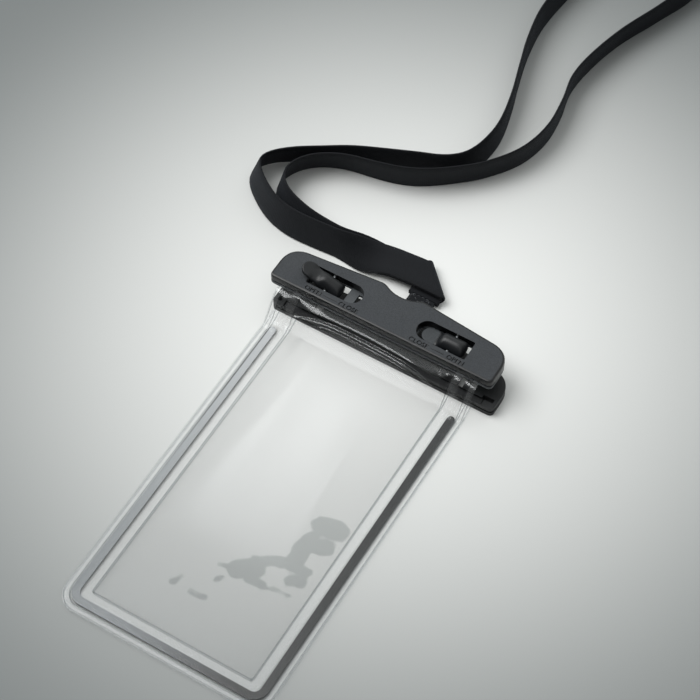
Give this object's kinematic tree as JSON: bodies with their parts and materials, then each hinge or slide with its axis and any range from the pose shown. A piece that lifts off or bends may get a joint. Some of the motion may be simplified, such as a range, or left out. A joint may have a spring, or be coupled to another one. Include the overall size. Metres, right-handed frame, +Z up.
{
  "type": "waterproof phone pouch",
  "caption": "Clear film pouch with a two-part clamp across its open mouth, two flip locks on the clamp and a flat ribbon lanyard.",
  "frame": {"origin": "middle of the pouch's footprint on the surface it lies on, without the lanyard", "axes": "+X along the clamp, +Y from the bag's bottom to its mouth, +Z up through the front of the pouch"},
  "size_m": [0.1578, 0.4747, 0.0227],
  "materials": {
    "cover": "fine-grained moulded dark grey",
    "frame": "moulded mid grey",
    "seal": "matte black",
    "lever": "satin black",
    "pin": "plain",
    "film": "clear soft film",
    "border": "smoky grey weld",
    "ribbon": "woven black ribbon"
  },
  "bodies": {
    "rear_half": {"rear_cover": "cover", "rear_frame": "cover", "rear_gasket": "seal", "rear_film": "film", "front_film": "film", "border_strip": "border", "lanyard_sewn_end": "ribbon", "lanyard_strand_lower": "ribbon", "lanyard_strand_upper": "ribbon", "lanyard_loop": "ribbon"},
    "front_half": {"front_cover": "cover", "front_frame": "frame", "front_gasket": "seal", "lever_pin_left": "pin", "lever_pin_right": "pin"},
    "left_lock": {"lock_lever_left": "lever"},
    "right_lock": {"lock_lever_right": "lever"}
  },
  "joints": [
    {"name": "clamp_close", "type": "slide", "parent": "rear_half", "child": "front_half", "axis": [0.4362, -0.5359, -0.7229], "range_m": [0, 0.008], "deforming": ["front_film"]},
    {"name": "left_lock_flip", "type": "hinge", "parent": "front_half", "child": "left_lock", "pos_m": [-0.03275, 0.0861, 0.0161], "axis": [0, 1, 0], "range_deg": [0, 160]},
    {"name": "right_lock_flip", "type": "hinge", "parent": "front_half", "child": "right_lock", "pos_m": [0.02925, 0.0861, 0.0161], "axis": [0, 1, 0], "range_deg": [0, 160]}
  ]
}
